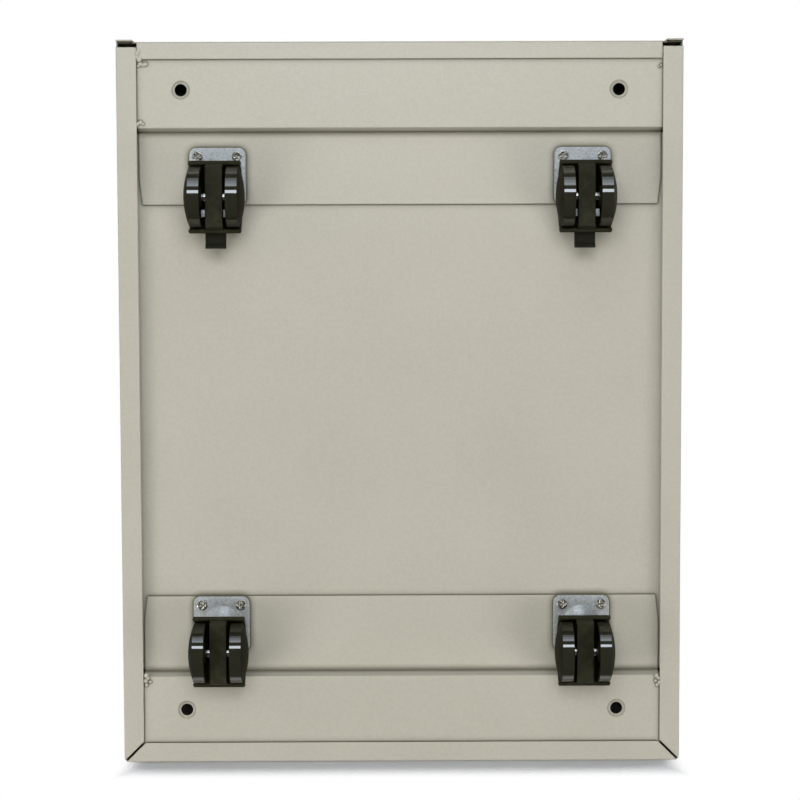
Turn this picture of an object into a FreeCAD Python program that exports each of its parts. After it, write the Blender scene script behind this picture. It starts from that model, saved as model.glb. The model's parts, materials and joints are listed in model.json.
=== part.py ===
"""Mobile pedestal filing cabinet: two drawers in a folded steel case on four twin-wheel casters.

Frame: +Z up, the front faces -Y, the origin is under the middle of the case, on the floor.
Lengths are millimetres and angles are degrees.
"""
import FreeCAD, Part
import math
import os
import Sketcher

# Driving sizes, one spreadsheet cell each
SIZES = {
    # The whole cabinet
    "case_width": 380.0,
    "case_depth": 490.0,
    "case_height": 550.0,
    "sheet_metal": 1.0,
    "caster_height": 50.0,
    "base_step": 8.0,
    # Case wrapper
    "side_flange": 13.5,
    "back_flange": 13.0,
    "top_flange": 12.0,
    "front_flange": 10.7,
    "front_hem": 2.0,
    "rear_corner_radius": 3.0,
    "corner_relief": 4.0,
    "mitre_gap": 1.5,
    # Case top
    "top_thickness": 30.0,
    "top_setback": 1.5,
    # Front bottom rail
    "rail_setback": 1.4,
    "rail_height": 22.0,
    "rail_flange": 11.6,
    "rail_top_lip": 9.0,
    "rail_bend_radius": 1.5,
    "rail_end_gap": 0.5,
    "rail_end_relief": 3.0,
    # Cross members under the floor
    "front_member_inset": 10.0,
    "front_lower_flange": 48.8,
    "front_upper_flange": 48.6,
    "rear_member_inset": 12.6,
    "rear_lower_flange": 46.2,
    "rear_upper_flange": 51.7,
    "step_run": 2.4,
    "member_lip": 8.0,
    "member_end_inset": 12.7,
    "member_end_taper": 2.1,
    "member_taper_length": 18.0,
    # Glide holes in the cross members
    "glide_spacing": 294.0,
    "front_glide_inset": 33.5,
    "rear_glide_inset": 35.7,
    "glide_hole_radius": 4.15,
    "glide_dish_radius": 6.35,
    "glide_dish_depth": 0.8,
    # Floor sheet and counterweight
    "floor_inset": 62.0,
    "floor_lip": 15.0,
    "weight_width": 200.0,
    "weight_length": 150.0,
    "weight_thickness": 16.0,
    "weight_rear_gap": 2.0,
    # Slide posts
    "post_depth": 16.3,
    "post_width": 25.0,
    "post_sheet": 1.2,
    "front_post_inset": 30.0,
    "rear_post_inset": 30.0,
    # Telescopic slides
    "slide_thickness": 12.7,
    "slide_height": 45.0,
    "slide_length": 450.0,
    "slide_sheet": 1.2,
    "slide_gap": 0.5,
    "slide_front_inset": 23.0,
    # Drawers
    "reveal": 2.5,
    "side_reveal": 1.5,
    "front_inset": 0.5,
    "front_thickness": 18.0,
    "front_sheet": 1.2,
    "front_return": 30.0,
    "lower_front_height": 300.0,
    "box_length": 450.0,
    "box_sheet": 1.0,
    "box_lift": 10.0,
    "upper_box_height": 100.0,
    "lower_box_height": 250.0,
    "upper_slide_lift": 40.0,
    "lower_slide_lift": 100.0,
    # Recessed pulls
    "pull_height": 28.0,
    "pull_depth": 15.5,
    "pull_lip": 8.0,
    # Hanging file rails
    "file_rail_spacing": 330.0,
    "file_rail_height": 12.0,
    "file_rail_thickness": 2.0,
    # Lock
    "lock_inset": 26.0,
    "lock_travel": 10.0,
    "lock_barrel_radius": 8.0,
    "lock_bezel_radius": 9.5,
    "lock_barrel_length": 19.5,
    "plug_radius": 5.0,
    "key_slot_width": 1.4,
    "key_slot_depth": 3.0,
    "cam_thickness": 2.0,
    "cam_half_width": 3.2,
    "cam_pin_radius": 1.5,
    "cam_gap": 2.0,
    "bar_thickness": 2.2,
    "bar_width": 12.0,
    "bar_wall_gap": 2.0,
    "bar_post_gap": 0.3,
    "bar_arm_height": 13.0,
    "bar_slot_gap": 0.5,
    "finger_height": 8.0,
    "finger_clearance": 3.0,
    # Drawer catches
    "catch_height": 20.0,
    "catch_reach": 10.0,
    "catch_sheet": 1.5,
    "catch_length": 12.0,
    "catch_gap": 0.5,
    "upper_catch_drop": 7.0,
    "lower_catch_drop": 35.0,
    # Caster places
    "caster_spacing": 246.5,
    "front_caster_inset": 90.7,
    "rear_caster_inset": 93.9,
    # Caster plate, kingpin and screws
    "plate_width": 38.0,
    "plate_thickness": 2.0,
    "plate_corner_radius": 4.6,
    "screw_spacing": 26.5,
    "screw_radius": 2.0,
    "screw_length": 8.0,
    "screw_hole_radius": 2.2,
    "screw_head_radius": 3.4,
    "screw_head_height": 2.0,
    "cross_length": 4.4,
    "cross_width": 1.1,
    "cross_depth": 1.4,
    "dome_radius": 12.4,
    "dome_depth": 3.6,
    "kingpin_radius": 4.0,
    "kingpin_length": 20.0,
    # Caster housing
    "trail": 14.7,
    "wheel_radius": 20.0,
    "wheel_width": 11.8,
    "wheel_gap": 2.8,
    "hood_clearance": 1.1,
    "hood_wall": 3.3,
    "hood_width": 34.2,
    "hood_lip": 24.0,
    "hood_bead_radius": 1.6,
    "hood_bead_width": 35.4,
    "web_width": 11.2,
    "web_bottom": 15.0,
    "web_flat_length": 40.0,
    "axle_radius": 3.0,
    "axle_depth": 6.0,
    "collar_radius": 5.8,
    "collar_height": 3.4,
    "swivel_boss_radius": 5.8,
    "running_clearance": 0.05,
    "swivel_gap": 0.3,
    # Wheel shape
    "tread_width": 7.8,
    "tread_chamfer": 0.35,
    "wheel_recess_depth": 2.0,
    "wheel_rim": 3.0,
    "wheel_hub_radius": 7.0,
    # Brake pedal
    "pedal_width": 13.8,
    "pedal_thickness": 2.4,
    "pedal_reach": 9.8,
    "pedal_pivot_back": 14.3,
    "pedal_pivot_height": 31.0,
    "pedal_barrel_radius": 2.2,
    "pedal_tip_height": 4.0,
    "trunnion_radius": 1.3,
    "pedal_side_gap": 0.3,
    "pedal_swing_room": 3.8,
    "pedal_lift_room": 2.2,
    "ear_thickness": 1.1,
    "ear_length": 4.6,
    "ear_drop": 3.5,
    "window_start": 9.6,
    "window_length": 2.3,
    "window_width": 2.7,
    "window_gap": 0.3,
}

PAST = 1.0  # how far a cutting tool runs past the face that it cuts
PIN_LEAD = 0.22  # share of its travel by which the cam's pin leads the bar in mid turn

document = FreeCAD.newDocument("FilingCabinet")
sheet = document.addObject("Spreadsheet::Sheet", "Sizes")
for row, (alias, number) in enumerate(SIZES.items(), start=1):
    sheet.set(f"A{row}", alias)
    sheet.set(f"B{row}", str(number))
    sheet.setAlias(f"B{row}", alias)
document.recompute()

subparts = []


class Size:
    """A length as a spreadsheet formula, with the number that it gives now."""

    def __init__(self, formula, number):
        self.formula = formula
        self.number = number

    def joined(self, sign, other, number):
        return Size(f"({self.formula} {sign} {other.formula})", number)

    def __add__(self, other):
        other = as_size(other)
        return self.joined("+", other, self.number + other.number)

    def __sub__(self, other):
        other = as_size(other)
        return self.joined("-", other, self.number - other.number)

    def __mul__(self, other):
        other = as_size(other)
        return self.joined("*", other, self.number * other.number)

    def __truediv__(self, other):
        other = as_size(other)
        return self.joined("/", other, self.number / other.number)

    def __neg__(self):
        return Size(f"(0 - {self.formula})", -self.number)

    def root(self):
        return Size(f"sqrt({self.formula})", math.sqrt(self.number))


def as_size(value):
    if isinstance(value, Size):
        return value
    return Size(f"({float(value)})", float(value))


class SheetSizes:
    """Each driving size by its name."""

    def __getattr__(self, alias):
        return Size(f"Sizes.{alias}", SIZES[alias])


s = SheetSizes()


# Levels and planes that several pieces share
half_width = s.case_width / 2
inner_half_width = half_width - s.sheet_metal
front = -s.case_depth / 2
back = s.case_depth / 2
step_top = s.caster_height
step_bottom = step_top - s.base_step
case_bottom = step_bottom - s.sheet_metal
member_top = step_bottom + s.sheet_metal
floor_bottom = step_top + s.sheet_metal
floor_top = floor_bottom + s.sheet_metal
case_rim = s.case_height - s.top_thickness
flange_inner = half_width - s.side_flange
opening_half_width = half_width - s.front_flange
post_face = inner_half_width - s.post_depth
box_half_width = post_face - s.slide_thickness
front_post_start = front + s.front_post_inset
rear_post_end = back - s.rear_post_inset

# The outer edges of the two cross members
front_member_edge = front + s.front_member_inset
rear_member_edge = back - s.rear_member_inset

# Drawer fronts, from the rail up to the top's skirt
front_face = front + s.front_inset
front_back = front_face + s.front_thickness
lower_front_bottom = case_bottom + s.rail_height + s.reveal
lower_front_top = lower_front_bottom + s.lower_front_height
upper_front_bottom = lower_front_top + s.reveal
upper_front_top = case_rim - s.reveal
front_half_width = opening_half_width - s.side_reveal

# The lock bar stands just in front of the right front post
bar_back = front_post_start - s.bar_post_gap
bar_front = bar_back - s.bar_thickness
bar_outer = inner_half_width - s.bar_wall_gap
bar_inner = bar_outer - s.bar_width
lock_x = half_width - s.lock_inset
lock_z = case_rim + s.top_thickness / 2

# Caster places, seen from above: the sign is the side, the flag is the brake
caster_x = s.caster_spacing / 2
caster_front_y = front + s.front_caster_inset
caster_rear_y = back - s.rear_caster_inset
CASTERS = {
    "front_left": (-caster_x, caster_front_y, True),
    "front_right": (caster_x, caster_front_y, True),
    "rear_left": (-caster_x, caster_rear_y, False),
    "rear_right": (caster_x, caster_rear_y, False),
}
SIDES = {"left": -1, "right": 1}


# Building blocks

def bind(thing, path, amount):
    thing.setExpression(path, as_size(amount).formula)


def place(thing, x=0, y=0, z=0):
    bind(thing, "Placement.Base.x", x)
    bind(thing, "Placement.Base.y", y)
    bind(thing, "Placement.Base.z", z)
    return thing


def mirrored_span(side, near, far):
    """The range from near to far on one side of the middle plane, lowest first."""
    if side > 0:
        return near, far
    return -far, -near


def box(x, y, z):
    block = document.addObject("Part::Box", "Block")
    for length, (low, high) in (("Length", x), ("Width", y), ("Height", z)):
        bind(block, length, as_size(high) - as_size(low))
    return place(block, x[0], y[0], z[0])


def rod(along, centre, span, radius):
    """A cylinder along an axis; centre is on the other two axes, in order."""
    cylinder = document.addObject("Part::Cylinder", "Rod")
    bind(cylinder, "Radius", radius)
    bind(cylinder, "Height", as_size(span[1]) - as_size(span[0]))
    return point_along(cylinder, along, centre, span[0])


def cone(centre, span, start_radius, end_radius):
    """A cone along Z."""
    taper = document.addObject("Part::Cone", "Taper")
    bind(taper, "Radius1", start_radius)
    bind(taper, "Radius2", end_radius)
    bind(taper, "Height", as_size(span[1]) - as_size(span[0]))
    return point_along(taper, "Z", centre, span[0])


def point_along(thing, along, centre, start):
    first, second = centre
    if along == "X":
        thing.Placement.Rotation = FreeCAD.Rotation(FreeCAD.Vector(0, 1, 0), 90)
        return place(thing, start, first, second)
    if along == "Y":
        thing.Placement.Rotation = FreeCAD.Rotation(FreeCAD.Vector(1, 0, 0), -90)
        return place(thing, first, start, second)
    return place(thing, first, second, start)


def fuse(*pieces):
    union = document.addObject("Part::MultiFuse", "Union")
    union.Shapes = list(pieces)
    union.Refine = True
    return union


def cut(base, *tools):
    difference = document.addObject("Part::Cut", "Difference")
    difference.Base = base
    difference.Tool = tools[0] if len(tools) == 1 else fuse(*tools)
    difference.Refine = True
    return difference


def group(*pieces):
    compound = document.addObject("Part::Compound", "Group")
    compound.Links = list(pieces)
    return compound


def keep(piece, label):
    """Name a finished sub-part, so that it is written out."""
    piece.Label = label
    subparts.append(piece)
    return piece


def flat_sketch(body, role, name):
    sketch = body.newObject("Sketcher::SketchObject", name)
    plane = [feature for feature in body.Origin.OriginFeatures if feature.Role == role][0]
    sketch.AttachmentSupport = (plane, [""])
    sketch.MapMode = "FlatFace"
    return sketch


def draw_outline(sketch, corners):
    """Draw a closed outline and pin its points to their formulas.

    A corner is (x, y), or (x, y, radius) where its two sides are square to each other.
    """
    ends = [corner_ends(corners, index) for index in range(len(corners))]
    edges = []
    pins = []
    joins = []
    radii = []
    for index, (entry, leave, radius) in enumerate(ends):
        following = ends[(index + 1) % len(ends)][0]
        if radius is not None:
            arc, first, last = corner_arc(corners[index], entry, leave)
            arc_number = len(edges)
            edges.append(arc)
            radii.append((arc_number, radius))
            before = (arc_number - 1) if arc_number else None
            joins.append((before, arc_number, first))
            joins.append((arc_number + 1, arc_number, last))
        line_number = len(edges)
        edges.append(Part.LineSegment(flat_point(leave), flat_point(following)))
        pins.append((line_number, 1, leave))
        if ends[(index + 1) % len(ends)][2] is not None:
            pins.append((line_number, 2, following))
        else:
            joins.append((line_number, None, None))
    sketch.addGeometry(edges, False)
    last_line = len(edges) - 1
    constraints = []
    formulas = []
    for first_edge, second_edge, point in joins:
        if second_edge is None:
            next_edge = (first_edge + 1) % len(edges)
            constraints.append(Sketcher.Constraint("Coincident", first_edge, 2, next_edge, 1))
        else:
            line = last_line if first_edge is None else first_edge
            line_end = 1 if line == second_edge + 1 else 2
            constraints.append(Sketcher.Constraint("Coincident", line, line_end, second_edge, point))
    for edge, end, (x, y) in pins:
        for direction, amount in (("DistanceX", x), ("DistanceY", y)):
            formulas.append((len(constraints), amount))
            constraints.append(Sketcher.Constraint(direction, -1, 1, edge, end, amount.number))
    for arc_number, radius in radii:
        formulas.append((len(constraints), radius))
        constraints.append(Sketcher.Constraint("Radius", arc_number, radius.number))
    sketch.addConstraint(constraints)
    for number, amount in formulas:
        bind(sketch, f"Constraints[{number}]", amount)


def flat_point(point):
    return FreeCAD.Vector(point[0].number, point[1].number, 0)


def corner_ends(corners, index):
    """Where the outline enters and leaves a corner, and the corner's radius if it has one."""
    corner = [as_size(value) for value in corners[index]]
    if len(corner) == 2:
        return (corner[0], corner[1]), (corner[0], corner[1]), None
    x, y, radius = corner
    ends = []
    for neighbour in (corners[index - 1], corners[(index + 1) % len(corners)]):
        step_x = as_size(neighbour[0]).number - x.number
        step_y = as_size(neighbour[1]).number - y.number
        if abs(step_x) > abs(step_y):
            ends.append((x + radius if step_x > 0 else x - radius, y))
        else:
            ends.append((x, y + radius if step_y > 0 else y - radius))
    return ends[0], ends[1], radius


def corner_arc(corner, entry, leave):
    """The quarter circle of a corner, and which of its ends meets the entry and the leaving side."""
    x = entry[0].number + leave[0].number - as_size(corner[0]).number
    y = entry[1].number + leave[1].number - as_size(corner[1]).number
    start = math.atan2(entry[1].number - y, entry[0].number - x)
    end = math.atan2(leave[1].number - y, leave[0].number - x)
    circle = Part.Circle(FreeCAD.Vector(x, y, 0), FreeCAD.Vector(0, 0, 1), as_size(corner[2]).number)
    if math.sin(end - start) > 0:
        return Part.ArcOfCircle(circle, start, end), 1, 2
    return Part.ArcOfCircle(circle, end, start), 2, 1


def profile(along, corners, span):
    """A body of one outline, padded along an axis; the outline is on the other two axes, in order."""
    role = {"X": "YZ_Plane", "Y": "XZ_Plane", "Z": "XY_Plane"}[along]
    body = document.addObject("PartDesign::Body", "Body")
    sketch = flat_sketch(body, role, "Outline")
    draw_outline(sketch, corners)
    pad = body.newObject("PartDesign::Pad", "Pad")
    pad.Profile = sketch
    pad.Reversed = along == "Y"
    bind(pad, "Length", as_size(span[1]) - as_size(span[0]))
    bind(body, f"Placement.Base.{along.lower()}", span[0])
    return body


def turned(corners):
    """A body turned about X; the outline is given as (x, radius)."""
    body = document.addObject("PartDesign::Body", "Body")
    sketch = flat_sketch(body, "XZ_Plane", "Outline")
    draw_outline(sketch, corners)
    turn = body.newObject("PartDesign::Revolution", "Turn")
    turn.Profile = sketch
    turn.ReferenceAxis = (sketch, ["H_Axis"])
    turn.Angle = 360
    return body


def channel(side, x, y, z, thickness):
    """A C channel that stands along Z, with its web at the x nearest the middle."""
    near, far = x
    low, high = y
    corners = [(near, low), (far, low), (far, low + thickness), (near + thickness, low + thickness),
               (near + thickness, high - thickness), (far, high - thickness), (far, high), (near, high)]
    return profile("Z", [(corner_x * side, corner_y) for corner_x, corner_y in corners], z)


# Case

def rounded_shell(y, z, wall):
    """A closed tray with rounded rear corners, hollow inside; the front wall is as thick as its hem."""
    outer = rounded_plan(half_width, y, z, s.rear_corner_radius)
    inner = rounded_plan(
        inner_half_width,
        (y[0] + wall, y[1] - s.sheet_metal),
        (z[0] + s.sheet_metal, z[1] - s.sheet_metal),
        s.rear_corner_radius - s.sheet_metal,
    )
    return cut(outer, inner)


def rounded_plan(half, y, z, radius):
    corners = [(-half, y[0]), (half, y[0]), (half, y[1], radius), (-half, y[1], radius)]
    return profile("Z", corners, z)


def bar_notch(z):
    """The notch that lets the lock bar pass a flange."""
    x = (bar_inner - PAST, bar_outer + s.bar_wall_gap / 2)
    y = (bar_front - PAST, bar_back + PAST)
    return box(x, y, z)


def mitre(side):
    """The thin diagonal gap between a side's and the back's bottom flange."""
    half_diagonal = math.sqrt(0.5)
    length = (s.back_flange - s.sheet_metal) / half_diagonal + PAST
    gap = document.addObject("Part::Box", "Mitre")
    bind(gap, "Length", length)
    bind(gap, "Width", s.mitre_gap)
    bind(gap, "Height", s.sheet_metal * 2)
    gap.Placement.Rotation = FreeCAD.Rotation(FreeCAD.Vector(0, 0, 1), 45 if side > 0 else 135)
    across = s.mitre_gap / 2 * half_diagonal
    before = half_diagonal * PAST
    x = (flange_inner - before) * side + across
    y = back - s.back_flange - before - across * side
    return place(gap, x, y, case_bottom - s.sheet_metal / 2)


def make_wrapper():
    shell = rounded_shell((front, back), (case_bottom, case_rim), s.front_hem)
    bottom_opening = box(
        (-flange_inner, flange_inner),
        (front - PAST, back - s.back_flange),
        (case_bottom - PAST, case_bottom + s.sheet_metal * 2),
    )
    top_half = half_width - s.top_flange
    top_opening = box(
        (-top_half, top_half),
        (front - PAST, back - s.top_flange),
        (case_rim - s.sheet_metal * 2, case_rim + PAST),
    )
    front_opening = box(
        (-opening_half_width, opening_half_width),
        (front - PAST, front + s.front_hem + PAST),
        (case_bottom - PAST, case_rim + PAST),
    )
    cuts = [bottom_opening, top_opening, front_opening]
    cuts.append(bar_notch((case_rim - s.sheet_metal * 2, case_rim + PAST)))
    for side in SIDES.values():
        cuts.append(mitre(side))
        relief_x = mirrored_span(side, flange_inner - PAST, half_width + PAST)
        relief_y = (front + s.sheet_metal, front + s.sheet_metal + s.corner_relief)
        cuts.append(box(relief_x, relief_y, (case_bottom - PAST, case_bottom + s.corner_relief)))
    keep(cut(shell, *cuts), "case_wrapper")


def make_top():
    skirt_front = front + s.top_setback
    shell = rounded_shell((skirt_front, back), (case_rim, s.case_height), s.sheet_metal)
    opening_half = half_width - s.top_flange
    opening = box(
        (-opening_half, opening_half),
        (skirt_front + s.top_flange, back - s.top_flange),
        (case_rim - PAST, case_rim + s.sheet_metal * 2),
    )
    lock_hole = rod("Y", (lock_x, lock_z), (skirt_front - PAST, skirt_front + s.sheet_metal + PAST),
                    s.lock_barrel_radius)
    notch = bar_notch((case_rim - PAST, case_rim + s.sheet_metal * 2))
    keep(cut(shell, opening, lock_hole, notch), "case_top")


def make_front_rail():
    face = front + s.rail_setback
    rear_edge = face + s.rail_flange
    top = case_bottom + s.rail_height
    metal = s.sheet_metal
    lip_edge = face + s.rail_top_lip
    corners = [
        (face, case_bottom, s.rail_bend_radius),
        (rear_edge, case_bottom),
        (rear_edge, case_bottom + metal),
        (face + metal, case_bottom + metal),
        (face + metal, top - metal),
        (lip_edge, top - metal),
        (lip_edge, top),
        (face, top),
    ]
    rail = profile("X", corners, (-opening_half_width, opening_half_width))
    end_cuts = []
    for side in SIDES.values():
        x = mirrored_span(side, flange_inner - s.rail_end_gap, opening_half_width + PAST)
        z = (case_bottom - PAST, case_bottom + s.rail_end_relief)
        end_cuts.append(box(x, (face - PAST, rear_edge + PAST), z))
    keep(cut(rail, *end_cuts), "front_bottom_rail")


def bend_shift():
    """How far a sheet's upper bend lies from its lower one, so that the slope keeps its thickness."""
    slope = (s.step_run * s.step_run + s.base_step * s.base_step).root()
    return s.sheet_metal * (slope - s.step_run) / s.base_step


def make_cross_member(label, outward, edge, lower_flange, upper_flange, glide_y, caster_y):
    """A joggled plate: a lower flange on the case's bottom flanges and an upper one under the floor."""
    metal = s.sheet_metal
    low_bend = edge - lower_flange * outward
    high_bend = low_bend - s.step_run * outward
    seam = high_bend - upper_flange * outward
    shift = bend_shift() * outward
    corners = [
        (edge, step_bottom),
        (low_bend, step_bottom),
        (high_bend, step_top),
        (seam, step_top),
        (seam, floor_bottom),
        (high_bend + shift, floor_bottom),
        (low_bend + shift, member_top),
        (edge - metal * outward, member_top),
        (edge - metal * outward, step_bottom + s.member_lip),
        (edge, step_bottom + s.member_lip),
    ]
    plate = profile("X", corners, (-inner_half_width, inner_half_width))
    end_cuts = [member_end_cut(side, outward, low_bend, seam) for side in SIDES.values()]
    bosses = []
    holes = []
    dish_top = step_bottom + s.glide_dish_depth
    for side in SIDES.values():
        centre = (s.glide_spacing / 2 * side, glide_y)
        bosses.append(rod("Z", centre, (step_bottom, dish_top + metal), s.glide_dish_radius + metal))
        holes.append(cone(centre, (step_bottom, dish_top), s.glide_dish_radius,
                          s.glide_dish_radius - s.glide_dish_depth))
        holes.append(rod("Z", centre, (step_bottom, dish_top + metal + PAST), s.glide_hole_radius))
        holes.extend(screw_holes(caster_x * side, caster_y, (step_top - PAST, floor_bottom + PAST)))
    trimmed = cut(plate, *end_cuts)
    keep(cut(fuse(trimmed, *bosses), *holes), label)


def member_end_cut(side, outward, low_bend, seam):
    """Trims an end of the upper flange, tapered towards its seam."""
    end = half_width - s.member_end_inset - PAST
    beyond = inner_half_width + PAST
    taper_start = seam + s.member_taper_length * outward
    past_seam = seam - outward * PAST
    corners = [
        (end * side, low_bend),
        (beyond * side, low_bend),
        (beyond * side, past_seam),
        ((end - s.member_end_taper) * side, past_seam),
        ((end - s.member_end_taper) * side, seam),
        (end * side, taper_start),
    ]
    return profile("Z", corners, (member_top, floor_bottom + PAST))


def screw_holes(x, y, z):
    """Four clearance holes round a caster's centre."""
    return [rod("Z", place_xy, z, s.screw_hole_radius) for place_xy in screw_places(x, y)]


def screw_places(x, y):
    offset = s.screw_spacing / 2
    return [(x + offset * across, y + offset * along) for across in (-1, 1) for along in (-1, 1)]


def make_floor_sheet():
    metal = s.sheet_metal
    lip_top = floor_bottom + s.floor_lip
    edge = inner_half_width
    corners = [
        (-edge, floor_bottom),
        (edge, floor_bottom),
        (edge, lip_top),
        (edge - metal, lip_top),
        (edge - metal, floor_top),
        (metal - edge, floor_top),
        (metal - edge, lip_top),
        (-edge, lip_top),
    ]
    plate = profile("Y", corners, (front + s.floor_inset, back - s.floor_inset))
    holes = []
    for x, y, braked in CASTERS.values():
        holes.extend(screw_holes(x, y, (floor_bottom - PAST, floor_top + PAST)))
    keep(cut(plate, *holes), "floor_sheet")


def make_counterweight():
    """A steel block on the floor between the rear casters' screws."""
    half = s.weight_width / 2
    end = back - s.floor_inset - s.weight_rear_gap
    keep(box((-half, half), (end - s.weight_length, end), (floor_top, floor_top + s.weight_thickness)),
         "counterweight")


def make_slide_posts():
    z = (member_top, case_rim - s.sheet_metal)
    places = {
        "front": (front_post_start, front_post_start + s.post_width),
        "rear": (rear_post_end - s.post_width, rear_post_end),
    }
    for side_name, side in SIDES.items():
        for end_name, y in places.items():
            post = channel(side, (post_face, inner_half_width), y, z, s.post_sheet)
            keep(post, f"slide_post_{end_name}_{side_name}")


# Drawers and their slides

def slide_member(side, web_x, flange_x, middle, half_height, opens_out):
    """One C member of a slide, along Y; it opens away from its web."""
    metal = s.slide_sheet
    inside = half_height - metal
    web_side = web_x + metal if opens_out else web_x - metal
    corners = [
        (web_x, middle - half_height),
        (flange_x, middle - half_height),
        (flange_x, middle - inside),
        (web_side, middle - inside),
        (web_side, middle + inside),
        (flange_x, middle + inside),
        (flange_x, middle + half_height),
        (web_x, middle + half_height),
    ]
    start = front + s.slide_front_inset
    return profile("Y", [(x * side, z) for x, z in corners], (start, start + s.slide_length))


def make_slides(drawer, middle):
    """Nested outer, intermediate and inner members on both sides of a drawer."""
    step = s.slide_sheet + s.slide_gap
    outer_half = s.slide_height / 2
    for side_name, side in SIDES.items():
        outer_flange = box_half_width + step * 2
        outer = slide_member(side, post_face, outer_flange, middle, outer_half, False)
        middle_web = post_face - step - s.slide_sheet
        middle_flange = box_half_width + step
        intermediate = slide_member(side, middle_web, middle_flange, middle, outer_half - step, False)
        inner_flange = middle_web - step
        inner = slide_member(side, box_half_width, inner_flange, middle, outer_half - step * 2, True)
        keep(outer, f"{drawer}_slide_outer_{side_name}")
        keep(intermediate, f"{drawer}_slide_middle_{side_name}")
        keep(inner, f"{drawer}_slide_inner_{side_name}")


def make_drawer_front(drawer, bottom, top):
    """A folded front, open where the pull sits and at the middle of its back."""
    metal = s.front_sheet
    half = front_half_width
    shell = box((-half, half), (front_face, front_back), (bottom, top))
    pull_bottom = top - s.pull_height
    cavity = box(
        (metal - half, half - metal),
        (front_face + metal, front_back - metal),
        (bottom + metal, pull_bottom),
    )
    pull_space = box(
        (metal - half, half - metal),
        (front_face - PAST, front_face + s.pull_depth),
        (pull_bottom, top + PAST),
    )
    window = box(
        (s.front_return - half, half - s.front_return),
        (front_back - metal - PAST, front_back + PAST),
        (bottom + s.front_return, pull_bottom - s.front_return),
    )
    keep(cut(shell, cavity, pull_space, window), f"{drawer}_front")


def make_pull(drawer, top):
    """A trough across the whole front, with a lip that the fingers hook behind."""
    metal = s.front_sheet
    low = top - s.pull_height
    deep = front_face + s.pull_depth
    half = front_half_width - metal
    corners = [
        (front_face, low),
        (deep, low),
        (deep, top, metal * 2),
        (front_face, top, metal * 2),
        (front_face, top - s.pull_lip),
        (front_face + metal, top - s.pull_lip),
        (front_face + metal, top - metal, metal),
        (deep - metal, top - metal, metal),
        (deep - metal, low + metal, metal),
        (front_face, low + metal),
    ]
    keep(profile("X", corners, (-half, half)), f"{drawer}_pull")


def make_drawer_box(drawer, bottom, height):
    """Five sheets welded along their edges: the walls stand on the floor, the ends between the sides."""
    metal = s.box_sheet
    half = box_half_width
    end = front_back + s.box_length
    walls = (bottom + metal, bottom + height)
    between_sides = (metal - half, half - metal)
    floor = box((-half, half), (front_back, end), (bottom, bottom + metal))
    front_end = box(between_sides, (front_back, front_back + metal), walls)
    rear_end = box(between_sides, (end - metal, end), walls)
    sheets = [floor, front_end, rear_end]
    for side in SIDES.values():
        sheets.append(box(mirrored_span(side, half - metal, half), (front_back, end), walls))
    keep(group(*sheets), f"{drawer}_box")


def make_file_rails(top):
    """Two cross rails that hanging files sit on, welded between the box's sides."""
    half = box_half_width - s.box_sheet
    middle = front_back + s.box_length / 2
    for name, sign in (("front", -1), ("rear", 1)):
        start = middle + s.file_rail_spacing / 2 * sign
        rail = box((-half, half), (start, start + s.file_rail_thickness), (top - s.file_rail_height, top))
        keep(rail, f"hanging_file_rail_{name}")


def make_catch(drawer, top):
    """The bracket on a drawer's right side that the lock bar's finger drops in front of."""
    lip_front = bar_back + s.catch_gap
    lip_back = lip_front + s.catch_sheet
    base = box(
        (box_half_width, box_half_width + s.catch_sheet),
        (lip_back - s.catch_length, lip_back),
        (top - s.catch_height, top),
    )
    lip = box(
        (box_half_width, box_half_width + s.catch_reach),
        (lip_front, lip_back),
        (top - s.catch_height, top),
    )
    keep(fuse(base, lip), f"{drawer}_catch")


# Lock

def make_lock():
    skirt_front = front + s.top_setback
    barrel_end = skirt_front + s.lock_barrel_length
    centre = (lock_x, lock_z)
    bezel = rod("Y", centre, (front, skirt_front), s.lock_bezel_radius)
    barrel = rod("Y", centre, (skirt_front, barrel_end), s.lock_barrel_radius)
    bore = rod("Y", centre, (front - PAST, barrel_end + PAST), s.plug_radius + s.running_clearance)
    keep(cut(fuse(bezel, barrel), bore), "lock_housing")

    cam_back = bar_front - s.cam_gap
    cam_front = cam_back - s.cam_thickness
    plug = rod("Y", centre, (front, cam_front), s.plug_radius)
    cam_y = (cam_front, cam_back)
    pin_centre = (lock_x + s.lock_travel, lock_z)
    cam = fuse(
        plug,
        rod("Y", centre, cam_y, s.plug_radius),
        box((lock_x, lock_x + s.lock_travel), cam_y, (lock_z - s.cam_half_width, lock_z + s.cam_half_width)),
        rod("Y", pin_centre, cam_y, s.cam_half_width),
        rod("Y", pin_centre, (cam_front, bar_back), s.cam_pin_radius),
    )
    key_half = s.key_slot_width / 2
    key_slot = box(
        (lock_x - key_half, lock_x + key_half),
        (front - PAST, front + s.key_slot_depth),
        (lock_z - s.key_slot_depth, lock_z + s.key_slot_depth),
    )
    keep(cut(cam, key_slot), "lock_plug")


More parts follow.
